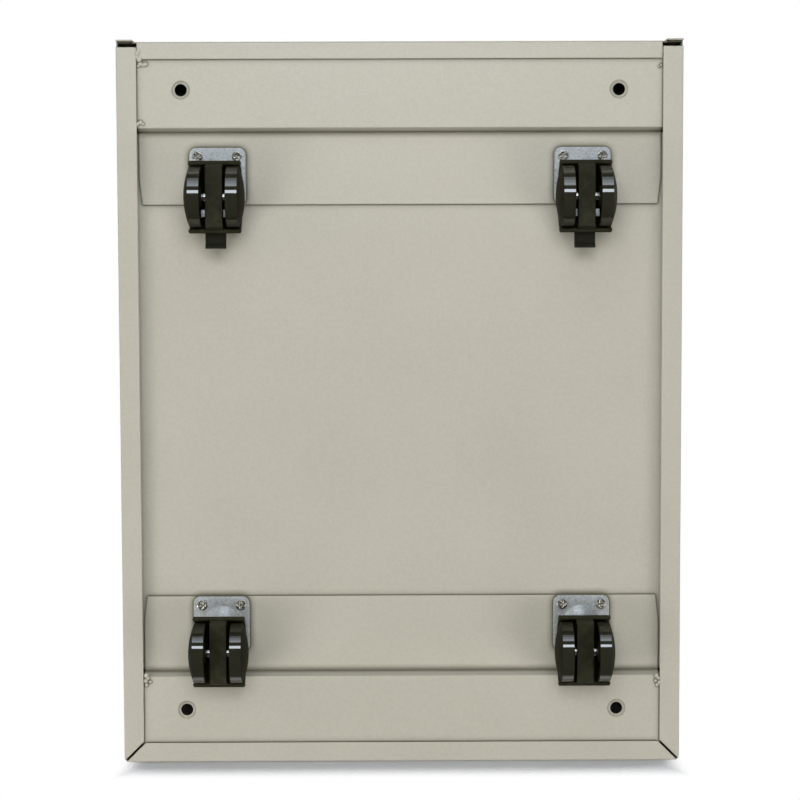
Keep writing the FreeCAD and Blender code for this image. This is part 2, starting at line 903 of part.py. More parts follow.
def make_lock_bar(catch_tops):
    """A strip with a slotted arm for the cam's pin and a finger over each catch."""
    y = (bar_front, bar_back)
    slot_half = s.cam_pin_radius + s.bar_slot_gap
    arm_inner = lock_x - slot_half - s.cam_half_width
    arm_top = lock_z + s.bar_arm_height / 2
    pin_drop = s.lock_travel * PIN_LEAD
    lowest_tip = catch_tops[0] + s.finger_clearance
    strip = box((bar_inner, bar_outer), y, (lowest_tip, arm_top))
    arm = box((arm_inner, bar_outer), y, (arm_top - s.bar_arm_height - pin_drop, arm_top))
    slot = box(
        (lock_x - slot_half, lock_x + s.lock_travel + slot_half),
        (bar_front - PAST, bar_back + PAST),
        (lock_z - slot_half - pin_drop, lock_z + slot_half),
    )
    pieces = [strip, arm]
    finger_inner = box_half_width + s.finger_clearance
    for top in catch_tops:
        tip = top + s.finger_clearance
        pieces.append(box((finger_inner, bar_outer), y, (tip, tip + s.finger_height)))
    keep(cut(fuse(*pieces), slot), "lock_bar")


# Casters: each piece is built about its swivel axis and then set in its place

def plate_dome(under):
    """The dome pressed into a plate: a shallow cap of a large ball."""
    rim = s.dome_radius
    depth = s.dome_depth
    ball_radius = (rim * rim + depth * depth) / (depth * 2)
    ball = document.addObject("Part::Sphere", "DomeBall")
    bind(ball, "Radius", ball_radius)
    place(ball, z=under + ball_radius - depth)
    dome = document.addObject("Part::Common", "Dome")
    dome.Base = ball
    dome.Tool = rod("Z", (0, 0), (under - depth - PAST, under), rim + PAST)
    return dome


def make_caster_plate(label, x, y):
    half = s.plate_width / 2
    radius = s.plate_corner_radius
    under = step_top - s.plate_thickness
    corners = [(-half, -half, radius), (half, -half, radius), (half, half, radius), (-half, half, radius)]
    plate = profile("Z", corners, (under, step_top))
    dome = plate_dome(under)
    kingpin = rod("Z", (0, 0), (under - s.kingpin_length, under), s.kingpin_radius)
    holes = screw_holes(as_size(0), as_size(0), (under - PAST, step_top + PAST))
    keep(place(cut(fuse(plate, dome, kingpin), *holes), x, y), f"{label}_caster_plate")


def screw(x, y):
    """A pan head screw driven up through the plate, with a cross recess."""
    under = step_top - s.plate_thickness
    low = under - s.screw_head_height
    head = rod("Z", (x, y), (low, under), s.screw_head_radius)
    shank = rod("Z", (x, y), (under, under + s.screw_length), s.screw_radius)
    long_half = s.cross_length / 2
    thin_half = s.cross_width / 2
    z = (low - PAST, low + s.cross_depth)
    across = box((x - long_half, x + long_half), (y - thin_half, y + thin_half), z)
    along = box((x - thin_half, x + thin_half), (y - long_half, y + long_half), z)
    return cut(fuse(head, shank), across, along)


def make_screws():
    screws = [screw(*place_xy) for x, y, braked in CASTERS.values() for place_xy in screw_places(x, y)]
    keep(group(*screws), "caster_screws")


def make_housing(label, x, y, braked):
    """A hood over both wheels with a web between them that holds the kingpin and the axle."""
    axle = (s.trail, s.wheel_radius)
    inner_radius = s.wheel_radius + s.hood_clearance
    outer_radius = inner_radius + s.hood_wall
    hood_half = s.hood_width / 2
    web_half = s.web_width / 2
    collar_top = step_top - s.plate_thickness - s.dome_depth - s.swivel_gap
    collar_bottom = collar_top - s.collar_height
    hood = cut(
        rod("X", axle, (-hood_half, hood_half), outer_radius),
        rod("X", axle, (-hood_half - PAST, hood_half + PAST), inner_radius),
        under_hood(outer_radius, hood_half),
    )
    web_radius = inner_radius + s.hood_wall / 2
    web_top = cut(rod("X", axle, (-web_half, web_half), web_radius), under_hood(outer_radius, hood_half))
    swivel_boss = rod("Z", (0, 0), (s.hood_lip, collar_top), s.swivel_boss_radius)
    beads = [hood_bead(end, web_radius) for end in (-1, 1)]
    collar = rod("Z", (0, 0), (collar_bottom, collar_top), s.collar_radius)
    pin_bottom = step_top - s.plate_thickness - s.kingpin_length
    kingpin_bore = s.kingpin_radius + s.running_clearance
    cuts = [
        rod("Z", (0, 0), (pin_bottom - s.swivel_gap, collar_top + PAST), kingpin_bore),
        rod("X", axle, (-hood_half, hood_half), s.axle_radius + s.running_clearance),
    ]
    pieces = [hood, web_top, web_foot(web_radius, web_half), swivel_boss, collar, *beads]
    if braked:
        cuts.extend(brake_cuts(web_half))
        bored_ears = [brake_ear(side) for side in SIDES.values()]
        housing = fuse(cut(fuse(*pieces), *cuts), *bored_ears)
    else:
        housing = cut(fuse(*pieces), *cuts)
    keep(place(housing, x, y), f"{label}_caster_housing")


def lip_reach(radius):
    """How far from the axle, along Y, a circle about the axle crosses the level of the hood's lip."""
    rise = s.hood_lip - s.wheel_radius
    return (radius * radius - rise * rise).root()


def hood_bead(end, radius):
    """The rounded rim along one lower edge of the hood."""
    half = s.hood_bead_width / 2 - s.hood_bead_radius
    y = s.trail + lip_reach(radius) * end
    pieces = [rod("X", (y, s.hood_lip), (-half, half), s.hood_bead_radius)]
    for side in SIDES.values():
        tip = document.addObject("Part::Sphere", "BeadTip")
        bind(tip, "Radius", s.hood_bead_radius)
        pieces.append(place(tip, half * side, y, s.hood_lip))
    return fuse(*pieces)


def web_foot(radius, half):
    """The web below the hood's lip: flat under the axle and sloped up to the rims."""
    reach = lip_reach(radius)
    flat = s.web_flat_length / 2
    corners = [
        (s.trail - reach, s.hood_lip),
        (s.trail - flat, s.web_bottom),
        (s.trail + flat, s.web_bottom),
        (s.trail + reach, s.hood_lip),
    ]
    return profile("X", corners, (-half, half))


def under_hood(radius, half):
    y = (s.trail - radius - PAST, s.trail + radius + PAST)
    return box((-half - PAST, half + PAST), y, (s.wheel_radius - radius - PAST, s.hood_lip))


def pedal_pivot():
    return s.trail + s.pedal_pivot_back, s.pedal_pivot_height


def brake_cuts(web_half):
    """The slot that the pedal swings in, and the small windows beside the web."""
    pivot_y, pivot_z = pedal_pivot()
    slot_half = s.pedal_width / 2 + s.pedal_side_gap
    slot_y = (pivot_y - s.pedal_barrel_radius - s.pedal_side_gap, s.trail + s.wheel_radius * 2)
    slot_z = (pivot_z - s.pedal_swing_room, pivot_z + s.pedal_lift_room)
    cuts = [box((-slot_half, slot_half), slot_y, slot_z)]
    barrel_room = s.pedal_barrel_radius + s.pedal_side_gap
    cuts.append(rod("X", (pivot_y, pivot_z), (-slot_half, slot_half), barrel_room))
    window_y = (s.trail + s.window_start, s.trail + s.window_start + s.window_length)
    hood_top = s.wheel_radius * 2 + s.hood_clearance + s.hood_wall
    near = web_half + s.window_gap
    for side in SIDES.values():
        x = mirrored_span(side, near, near + s.window_width)
        cuts.append(box(x, window_y, (pivot_z, hood_top + PAST)))
    return cuts


def brake_ear(side):
    """A lug under the hood that holds one end of the pedal's pin."""
    pivot_y, pivot_z = pedal_pivot()
    near = s.pedal_width / 2 + s.pedal_side_gap
    x = mirrored_span(side, near, near + s.ear_thickness)
    half = s.ear_length / 2
    reach = s.wheel_radius + s.hood_clearance + s.hood_wall / 2
    block = box(x, (pivot_y - half, pivot_y + half), (pivot_z - s.ear_drop, pivot_z + reach))
    within_hood = rod("X", (s.trail, s.wheel_radius), x, reach)
    lug = document.addObject("Part::Common", "Lug")
    lug.Base = block
    lug.Tool = within_hood
    bore = rod("X", (pivot_y, pivot_z), (x[0] - PAST, x[1] + PAST), s.trunnion_radius + s.running_clearance)
    return cut(lug, bore)


def make_axle(label, x, y):
    half = s.web_width / 2 + s.wheel_gap + s.axle_depth
    axle = rod("X", (s.trail, s.wheel_radius), (-half, half), s.axle_radius)
    keep(group(axle), f"{label}_caster_axle")
    place(subparts[-1], x, y)


def make_wheel(label, side_name, side, x, y):
    """A wheel with a flat tread, a recess inside its rim and a domed outer face."""
    near = s.web_width / 2 + s.wheel_gap
    far = near + s.wheel_width
    bore = s.axle_radius + s.running_clearance
    bore_end = near + s.axle_depth + s.swivel_gap
    rim = s.wheel_radius - s.wheel_rim
    recess_x = near + s.wheel_recess_depth
    corners = [
        (near, bore),
        (near, s.wheel_hub_radius),
        (recess_x, s.wheel_hub_radius),
        (recess_x, rim),
        (near, rim),
        (near, s.wheel_radius - s.tread_chamfer),
        (near + s.tread_chamfer, s.wheel_radius),
        (far, s.wheel_radius),
        (far, 0),
        (bore_end, 0),
        (bore_end, bore),
    ]
    blank = turned([(corner_x * side, radius) for corner_x, radius in corners])
    rise = s.wheel_width - s.tread_width
    dome_radius = (s.wheel_radius * s.wheel_radius + rise * rise) / (rise * 2)
    ball = document.addObject("Part::Sphere", "Ball")
    bind(ball, "Radius", dome_radius)
    place(ball, (far - dome_radius) * side)
    wheel = document.addObject("Part::Common", "Wheel")
    wheel.Base = blank
    wheel.Tool = ball
    keep(place(wheel, x, s.trail + y, s.wheel_radius), f"{label}_caster_wheel_{side_name}")


def make_pedal(label, x, y):
    """A flat tab on a barrel with a stub pin at each end; its end turns down a little."""
    pivot_y, pivot_z = pedal_pivot()
    half = s.pedal_width / 2
    pin_half = half + s.pedal_side_gap + s.ear_thickness
    hood_rear = s.trail + s.wheel_radius + s.hood_clearance + s.hood_wall
    tip = hood_rear + s.pedal_reach
    thick_half = s.pedal_thickness / 2
    low = pivot_z - thick_half
    high = pivot_z + thick_half
    corners = [
        (pivot_y, low),
        (tip - s.pedal_thickness, low),
        (tip - s.pedal_thickness, high - s.pedal_tip_height),
        (tip, high - s.pedal_tip_height),
        (tip, high, thick_half),
        (pivot_y, high),
    ]
    tab = profile("X", corners, (-half, half))
    barrel = rod("X", (pivot_y, pivot_z), (-half, half), s.pedal_barrel_radius)
    pin = rod("X", (pivot_y, pivot_z), (-pin_half, pin_half), s.trunnion_radius)
    keep(place(fuse(tab, barrel, pin), x, y), f"{label}_brake_pedal")


# Put the cabinet together
make_wrapper()
make_top()
make_front_rail()
make_cross_member("front_cross_member", -1, front_member_edge, s.front_lower_flange, s.front_upper_flange,
                  front + s.front_glide_inset, caster_front_y)
make_cross_member("rear_cross_member", 1, rear_member_edge, s.rear_lower_flange, s.rear_upper_flange,
                  back - s.rear_glide_inset, caster_rear_y)
make_floor_sheet()
make_counterweight()
make_slide_posts()

catch_tops = []
DRAWERS = {
    "lower": (
        lower_front_bottom, lower_front_top, s.lower_box_height, s.lower_slide_lift, s.lower_catch_drop,
    ),
    "upper": (
        upper_front_bottom, upper_front_top, s.upper_box_height, s.upper_slide_lift, s.upper_catch_drop,
    ),
}
for drawer, (bottom, top, box_height, slide_lift, catch_drop) in DRAWERS.items():
    box_bottom = bottom + s.box_lift
    catch_top = box_bottom + box_height - catch_drop
    catch_tops.append(catch_top)
    make_drawer_front(drawer, bottom, top)
    make_pull(drawer, top)
    make_drawer_box(drawer, box_bottom, box_height)
    make_slides(drawer, box_bottom + slide_lift)
    make_catch(drawer, catch_top)
make_file_rails(lower_front_bottom + s.box_lift + s.lower_box_height)
make_lock()
make_lock_bar(catch_tops)

for label, (x, y, braked) in CASTERS.items():
    make_caster_plate(label, x, y)
    make_housing(label, x, y, braked)
    make_axle(label, x, y)
    for side_name, side in SIDES.items():
        make_wheel(label, side_name, side, x, y)
    if braked:
        make_pedal(label, x, y)
make_screws()

document.recompute()

# Every object has to be whole before anything is written
for item in document.Objects:
    if "Invalid" in item.State or "Error" in item.State:
        raise RuntimeError(f"{item.Name} ({item.Label}) failed: {item.State}")
for piece in subparts:
    if piece.Shape.isNull() or not piece.Shape.isValid() or not piece.Shape.Solids:
        raise RuntimeError(f"{piece.Label} has no valid solid")

os.makedirs("parts", exist_ok=True)
for piece in subparts:
    piece.Shape.exportStep(f"parts/{piece.Label}.step")
print(len(subparts), "sub-parts written")
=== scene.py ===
"""Looks of the mobile filing cabinet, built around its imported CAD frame.

Everything is in metres in the part's own frame: +Z up, the drawers face -Y, the floor at z = 0.
The photograph shows the cabinet lying on its back, seen from below, so the camera looks along +Z.
"""

import json
import math

import bmesh
import bpy
from mathutils import Matrix, Vector


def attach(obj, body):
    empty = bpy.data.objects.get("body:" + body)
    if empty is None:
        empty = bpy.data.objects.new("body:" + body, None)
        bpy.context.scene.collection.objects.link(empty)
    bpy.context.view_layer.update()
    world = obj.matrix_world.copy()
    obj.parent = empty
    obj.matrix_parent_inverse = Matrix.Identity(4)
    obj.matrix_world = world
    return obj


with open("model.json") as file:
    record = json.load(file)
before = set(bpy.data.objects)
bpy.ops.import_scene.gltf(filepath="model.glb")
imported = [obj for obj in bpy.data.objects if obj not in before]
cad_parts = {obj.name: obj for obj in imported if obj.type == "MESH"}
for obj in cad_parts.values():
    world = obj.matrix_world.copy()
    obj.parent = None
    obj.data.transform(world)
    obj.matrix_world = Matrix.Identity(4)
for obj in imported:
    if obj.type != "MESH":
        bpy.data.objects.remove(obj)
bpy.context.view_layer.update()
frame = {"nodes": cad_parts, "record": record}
nodes = frame["nodes"]

MM = 0.001


# Camera, fitted to the corners, plates and hoods of the photograph

CAMERA_PLACE = Vector((-6.7, -100.4, -1335.3)) * MM
CAMERA_FORWARD = Vector((0.00444, 0.07064, 0.99749))
CAMERA_UP = Vector((0.00347, -0.9975, 0.07063))
FOCAL_PIXELS = 2037.6
IMAGE_PIXELS = 800
SENSOR_WIDTH = 36.0
CLIP_NEAR = 0.05
CLIP_FAR = 50


def make_camera():
    data = bpy.data.cameras.new("photo_camera")
    data.sensor_width = SENSOR_WIDTH
    data.lens = SENSOR_WIDTH * FOCAL_PIXELS / IMAGE_PIXELS
    data.clip_start = CLIP_NEAR
    data.clip_end = CLIP_FAR
    camera = bpy.data.objects.new("photo_camera", data)
    back = -CAMERA_FORWARD.normalized()
    right = CAMERA_UP.cross(back).normalized()
    up = back.cross(right)
    turn = Matrix((right, up, back)).transposed()
    camera.matrix_world = Matrix.Translation(CAMERA_PLACE) @ turn.to_4x4()
    bpy.context.scene.collection.objects.link(camera)
    bpy.context.scene.camera = camera


# Light

UNDERSIDE_MIDDLE = Vector((0, 0, 0.04))
REAR_OF_UNDERSIDE = Vector((0, 0.14, 0.04))
CASE_MIDDLE = Vector((0, 0, 0.28))
NEUTRAL_WHITE = (1, 1, 1)
WARM_WHITE = (1.0, 0.988, 0.945)
COOL_WHITE = (0.84, 0.91, 1.0)


def softbox(name, place, aim, width, height, radiance, colour=WARM_WHITE, reflected=True):
    """A rectangular lamp whose face has the given radiance, whatever its size."""
    data = bpy.data.lights.new(name, "AREA")
    data.shape = "RECTANGLE"
    data.size = width
    data.size_y = height
    data.energy = radiance * math.pi * width * height
    data.color = colour
    lamp = bpy.data.objects.new(name, data)
    lamp.location = place
    lamp.rotation_euler = (Vector(aim) - Vector(place)).to_track_quat("-Z", "Y").to_euler()
    lamp.visible_camera = False
    lamp.visible_glossy = reflected
    bpy.context.scene.collection.objects.link(lamp)


TREAD_LAMP_WIDTH = 0.52

# Name, y, z, height and radiance of each lamp that the treads of the wheels mirror as a band
TREAD_LAMPS = (
    ("photo_strip", -0.44, -0.90, 0.19, 4.5),
    ("photo_fill_low", -0.70, -0.56, 0.16, 1.65),
    ("photo_fill_middle", -0.78, -0.42, 0.16, 1.20),
    ("photo_fill_high", -0.84, -0.27, 0.16, 0.70),
)


def make_photo_lamps():
    """The lamps that shine on the photographed underside."""
    for name, y, z, height, radiance in TREAD_LAMPS:
        softbox(name, (0, y, z), UNDERSIDE_MIDDLE, TREAD_LAMP_WIDTH, height, radiance, COOL_WHITE)
    softbox(
        "photo_overhead", place=(0, -1.00, -2.90), aim=REAR_OF_UNDERSIDE, width=2.0, height=1.6, radiance=4.0,
        reflected=False,
    )
    softbox(
        "photo_left_key", place=(-2.4, -1.4, -1.9), aim=UNDERSIDE_MIDDLE, width=2.2, height=2.2, radiance=0.8,
    )
    softbox(
        "photo_rear_left", place=(-0.95, 0.55, -1.10), aim=REAR_OF_UNDERSIDE, width=0.5, height=0.8,
        radiance=5.6,
    )
    softbox(
        "photo_rear_right", place=(0.95, 0.55, -1.10), aim=REAR_OF_UNDERSIDE, width=0.5, height=0.8,
        radiance=4.8,
    )


def make_standing_lamps():
    """The lamps above the floor, for a cabinet that stands upright."""
    softbox(
        "standing_key", place=(-1.5, -2.0, 1.9), aim=CASE_MIDDLE, width=1.2, height=1.2, radiance=5.6,
        colour=NEUTRAL_WHITE,
    )
    softbox(
        "standing_right_fill", place=(2.2, -1.0, 1.2), aim=CASE_MIDDLE, width=1.2, height=1.2, radiance=4.0,
        colour=NEUTRAL_WHITE,
    )
    softbox(
        "standing_back_fill", place=(0.9, 2.4, 1.5), aim=CASE_MIDDLE, width=1.4, height=1.2, radiance=4.4,
        colour=NEUTRAL_WHITE, reflected=False,
    )


# Small helpers for node trees

NOISE_LOW = 0.3
NOISE_HIGH = 0.7
EDGE_SAMPLES = 6
OPENNESS_SAMPLES = 6


def maths(tree, operation, first, second):
    node = tree.nodes.new("ShaderNodeMath")
    node.operation = operation
    for socket, value in zip(node.inputs, (first, second)):
        if isinstance(value, (int, float)):
            socket.default_value = value
        else:
            tree.links.new(value, socket)
    return node.outputs[0]


def highest(tree, first, second):
    return maths(tree, "MAXIMUM", first, second)


def size_of(tree, value):
    """The value without its sign."""
    return maths(tree, "ABSOLUTE", value, 0.0)


def spread(tree, value, low, high, start=0.0, end=1.0):
    """value, from start to end, turned into a number from low to high."""
    node = tree.nodes.new("ShaderNodeMapRange")
    tree.links.new(value, node.inputs["Value"])
    node.inputs["From Min"].default_value = start
    node.inputs["From Max"].default_value = end
    node.inputs["To Min"].default_value = low
    node.inputs["To Max"].default_value = high
    return node.outputs["Result"]


def spread_noise(tree, pattern, low, high):
    """Noise, which seldom leaves its middle, turned into a number from low to high."""
    return spread(tree, pattern, low, high, NOISE_LOW, NOISE_HIGH)


def fade(tree, value, start, end):
    """0 before start, 1 after end and a smooth step between."""
    node = tree.nodes.new("ShaderNodeMapRange")
    node.interpolation_type = "SMOOTHERSTEP"
    tree.links.new(value, node.inputs["Value"])
    node.inputs["From Min"].default_value = start
    node.inputs["From Max"].default_value = end
    return node.outputs["Result"]


def part_of(tree, vector, axis):
    node = tree.nodes.new("ShaderNodeSeparateXYZ")
    tree.links.new(vector, node.inputs[0])
    return node.outputs[axis]


def object_point(tree):
    """The point on the piece itself, so that the pattern moves with it."""
    return tree.nodes.new("ShaderNodeTexCoord").outputs["Object"]


def stretched(tree, point, stretch):
    node = tree.nodes.new("ShaderNodeMapping")
    node.inputs["Scale"].default_value = stretch
    tree.links.new(point, node.inputs["Vector"])
    return node.outputs["Vector"]


def noise(tree, point, feature, detail=2.0, roughness=0.5):
    """Noise with features of about the given size in metres."""
    node = tree.nodes.new("ShaderNodeTexNoise")
    tree.links.new(point, node.inputs["Vector"])
    node.inputs["Scale"].default_value = 1 / feature
    node.inputs["Detail"].default_value = detail
    node.inputs["Roughness"].default_value = roughness
    return node.outputs["Fac"]


def cells(tree, point, feature):
    """One random number for each grain of about the given size in metres."""
    node = tree.nodes.new("ShaderNodeTexVoronoi")
    tree.links.new(point, node.inputs["Vector"])
    node.inputs["Scale"].default_value = 1 / feature
    return part_of(tree, node.outputs["Color"], "X")


def blend_colour(tree, factor, first, second):
    node = tree.nodes.new("ShaderNodeMix")
    node.data_type = "RGBA"
    tree.links.new(factor, node.inputs["Factor"])
    for socket, value in (("A", first), ("B", second)):
        target = [s for s in node.inputs if s.name == socket and s.type == "RGBA"][0]
        if isinstance(value, tuple):
            target.default_value = (*value, 1)
        else:
            tree.links.new(value, target)
    return [s for s in node.outputs if s.type == "RGBA"][0]


def scaled(colour, factor):
    return tuple(channel * factor for channel in colour)


def toned_by_noise(tree, pattern, colour, low, high):
    """The colour times low where the noise is weak, and times high where it is strong."""
    return blend_colour(tree, spread_noise(tree, pattern, 0, 1), scaled(colour, low), scaled(colour, high))


def rounded_edges(tree, radius):
    """A normal that rounds the edges by the given radius in metres."""
    node = tree.nodes.new("ShaderNodeBevel")
    node.samples = EDGE_SAMPLES
    node.inputs["Radius"].default_value = radius
    return node.outputs["Normal"]


def openness(tree, reach):
    """1 on an open surface, and less where other surfaces within the given reach close it in."""
    node = tree.nodes.new("ShaderNodeAmbientOcclusion")
    node.samples = OPENNESS_SAMPLES
    node.inputs["Distance"].default_value = reach
    return node.outputs["AO"]


def relief(tree, height, depth, normal):
    """A bump of the given depth in metres, on top of the given normal."""
    node = tree.nodes.new("ShaderNodeBump")
    node.inputs["Distance"].default_value = depth
    tree.links.new(height, node.inputs["Height"])
    tree.links.new(normal, node.inputs["Normal"])
    return node.outputs["Normal"]


def mixed(tree, factor, first, second):
    mix = tree.nodes.new("ShaderNodeMixShader")
    tree.links.new(factor, mix.inputs["Fac"])
    tree.links.new(first, mix.inputs[1])
    tree.links.new(second, mix.inputs[2])
    return mix.outputs[0]


def new_material(name):
    material = bpy.data.materials.new(name)
    material.use_nodes = True
    shader = material.node_tree.nodes["Principled BSDF"]
    return material, material.node_tree, shader


# World: white above the horizon, dim below it, where the floor of an upright view hides it

SKY_FOR_DIFFUSE = 0.72
BELOW_STRENGTH = 0.06
BELOW_COLOUR = (1.0, 0.975, 0.91)
WHITE_FROM = -0.30
WHITE_AT = -0.12
SKY_FROM = -0.05
SKY_AT = 0.30


def make_world():
    world = bpy.data.worlds.new("studio")
    world.use_nodes = True
    bpy.context.scene.world = world
    tree = world.node_tree
    tree.nodes.clear()
    path = tree.nodes.new("ShaderNodeLightPath")
    shown = highest(tree, path.outputs["Is Camera Ray"], path.outputs["Is Transmission Ray"])
    direction = tree.nodes.new("ShaderNodeTexCoord").outputs["Generated"]
    height = part_of(tree, direction, "Z")
    white = maths(tree, "MULTIPLY", shown, fade(tree, height, WHITE_FROM, WHITE_AT))
    above = fade(tree, height, SKY_FROM, SKY_AT)
    soft = spread(tree, above, BELOW_STRENGTH, SKY_FOR_DIFFUSE)
    colour = blend_colour(tree, highest(tree, white, above), BELOW_COLOUR, NEUTRAL_WHITE)
    sky = tree.nodes.new("ShaderNodeBackground")
    tree.links.new(colour, sky.inputs["Color"])
    tree.links.new(highest(tree, white, soft), sky.inputs["Strength"])
    output = tree.nodes.new("ShaderNodeOutputWorld")
    tree.links.new(sky.outputs[0], output.inputs["Surface"])


# Powder coat of the case and the drawer fronts

PUTTY = (0.520, 0.497, 0.428)
PEBBLE_SIZE = 1.3 * MM
PEBBLE_DEPTH = 0.115 * MM
SPECK_SIZE = 2.4 * MM
SPECK_TONES = (1.065, 0.905)
SPECK_SHARE = (0.35, 0.65)
COAT_CLOUD_SIZE = 60 * MM
COAT_TONES = (0.972, 1.022)
COAT_ROUGHNESS = (0.32, 0.42)
COAT_SPECULAR = 0.6
COAT_EDGE = 1.3 * MM
# Painted shade in creases: how far it reaches, the share of colour left in it, and the openness where it
# starts and ends
PAINTED_SHADE_REACH = 5 * MM
PAINTED_SHADE_SHARE = (0.22, 0.21, 0.15)
PAINTED_SHADE_CLOSED = 0.70
PAINTED_SHADE_OPEN = 0.965


def powder_coat(name, colour):
    """Baked paint with a fine pebbled skin, slight unevenness of tone, and painted shade that darkens its
    creases, steps and holes.
    """
    material, tree, shader = new_material(name)
    point = object_point(tree)
    pebble = noise(tree, point, PEBBLE_SIZE, detail=2.0, roughness=0.6)
    cloud = noise(tree, point, COAT_CLOUD_SIZE, detail=3.0, roughness=0.6)
    speck = noise(tree, point, SPECK_SIZE, detail=3.0, roughness=0.7)
    tone = toned_by_noise(tree, cloud, colour, *COAT_TONES)
    dusty = toned_by_noise(tree, speck, colour, *SPECK_TONES)
    mixed_tone = blend_colour(tree, spread_noise(tree, pebble, *SPECK_SHARE), tone, dusty)
    # Painted shade: the colour darkens where nearby surfaces close the paint in, at creases, steps, seams and
    # holes
    crease_shade_colour = tuple(channel * share for channel, share in zip(colour, PAINTED_SHADE_SHARE))
    unshaded = fade(tree, openness(tree, PAINTED_SHADE_REACH), PAINTED_SHADE_CLOSED, PAINTED_SHADE_OPEN)
    tree.links.new(blend_colour(tree, unshaded, crease_shade_colour, mixed_tone), shader.inputs["Base Color"])
    tree.links.new(spread_noise(tree, cloud, *COAT_ROUGHNESS), shader.inputs["Roughness"])
    normal = relief(tree, pebble, PEBBLE_DEPTH, rounded_edges(tree, COAT_EDGE))
    tree.links.new(normal, shader.inputs["Normal"])
    shader.inputs["Specular IOR Level"].default_value = COAT_SPECULAR
    return material


# Thinner paint of the drawer boxes and of what is inside the case

SKIN_SIZE = 1.6 * MM
SKIN_DEPTH = 0.02 * MM
BOX_CLOUD_SIZE = 40 * MM
BOX_TONES = (0.965, 1.02)
BOX_ROUGHNESS = (0.34, 0.46)
BOX_EDGE = 0.3 * MM
# Painted shade deep inside the case: its reach, the openness where it ends, and the share of colour left in
# it
INSIDE_SHADE_REACH = 60 * MM
INSIDE_SHADE_OPEN = 0.45
INSIDE_SHADE_SHARE = 0.06


def smooth_coat(name, colour):
    """Paint that is smoother than the powder coat, with painted shade that darkens it deep inside the case.
    """
    material, tree, shader = new_material(name)
    point = object_point(tree)
    skin = noise(tree, point, SKIN_SIZE, detail=2.0)
    cloud = noise(tree, point, BOX_CLOUD_SIZE, detail=3.0)
    tone = toned_by_noise(tree, cloud, colour, *BOX_TONES)
    # Painted shade: the colour darkens where the case closes the paint in
    out_of_inside_shade = fade(tree, openness(tree, INSIDE_SHADE_REACH), 0, INSIDE_SHADE_OPEN)
    painted_inside_shade = blend_colour(tree, out_of_inside_shade, scaled(colour, INSIDE_SHADE_SHARE), tone)
    tree.links.new(painted_inside_shade, shader.inputs["Base Color"])
    tree.links.new(spread_noise(tree, cloud, *BOX_ROUGHNESS), shader.inputs["Roughness"])
    normal = relief(tree, skin, SKIN_DEPTH, rounded_edges(tree, BOX_EDGE))
    tree.links.new(normal, shader.inputs["Normal"])
    return material


# Zinc coated steel of the slides, the caster plates and the screws

ZINC_CLOUD_SIZE = 7 * MM
ZINC_TINT_FROM = 0.35
ZINC_TINT_AT = 0.65
ZINC_BARE_SHARE = 0.85
SPANGLE_STRENGTH = 0.55
SPANGLE_DULLS = 0.05
BLOTCH_FROM = 0.38
BLOTCH_AT = 0.58
SCUFF_DULLS = 0.16


def zinc(name, colour, passivated, grain, shine, dark, light, dent, edge, metal):
    """Zinc coated steel: spangled grains, cloudy bluish tint and fine scuffs."""
    material, tree, shader = new_material(name)
    point = object_point(tree)
    spangle = cells(tree, point, grain)
    cloud = noise(tree, point, ZINC_CLOUD_SIZE, detail=4.0, roughness=0.65)
    blotch = noise(tree, point, grain, detail=3.0, roughness=0.6)
    clouded = spread(tree, cloud, 0, 1, ZINC_TINT_FROM, ZINC_TINT_AT)
    tint = blend_colour(tree, clouded, scaled(colour, ZINC_BARE_SHARE), passivated)
    toned = blend_colour(tree, spread(tree, spangle, 0, SPANGLE_STRENGTH), tint, scaled(colour, light))
    blotched = spread(tree, blotch, 1, 0, BLOTCH_FROM, BLOTCH_AT)
    mottled = blend_colour(tree, blotched, toned, scaled(colour, dark))
    scuffed = spread_noise(tree, cloud, shine, shine + SCUFF_DULLS)
    rough = maths(tree, "ADD", scuffed, spread(tree, spangle, -SPANGLE_DULLS, SPANGLE_DULLS))
    tree.links.new(mottled, shader.inputs["Base Color"])
    tree.links.new(rough, shader.inputs["Roughness"])
    tree.links.new(relief(tree, blotch, dent, rounded_edges(tree, edge)), shader.inputs["Normal"])
    shader.inputs["Metallic"].default_value = metal
    return material


# Ground steel of the axles and polished chrome of the lock

LINE_STRETCH = (1, 1, 0.05)
LINE_SIZE = 0.35 * MM
PATCH_SIZE = 3 * MM
PATCH_TONES = (0.9, 1.05)
PATCH_DULLS = 0.1
METAL_EDGE = 0.25 * MM


def bare_metal(name, colour, shine, line_depth):
    """Ground or polished metal with fine lines of the given depth."""
    material, tree, shader = new_material(name)
    point = object_point(tree)
    stripe = noise(tree, stretched(tree, point, LINE_STRETCH), LINE_SIZE, detail=2.0)
    patch = noise(tree, point, PATCH_SIZE, detail=3.0)
    tree.links.new(toned_by_noise(tree, patch, colour, *PATCH_TONES), shader.inputs["Base Color"])
    tree.links.new(spread_noise(tree, patch, shine, shine + PATCH_DULLS), shader.inputs["Roughness"])
    normal = relief(tree, stripe, line_depth, rounded_edges(tree, METAL_EDGE))
    tree.links.new(normal, shader.inputs["Normal"])
    shader.inputs["Metallic"].default_value = 1
    return material


# Injection moulded plastic of the housings, pedals and wheels

GRAIN_SIZE = 0.45 * MM
DUST_SIZE = 5 * MM
DUST_SHOWS_FROM = 0.45
DUST_SHOWS_AT = 0.8
DUST_DULLS_FROM = 0.35
DUST_DULLS_AT = 0.75


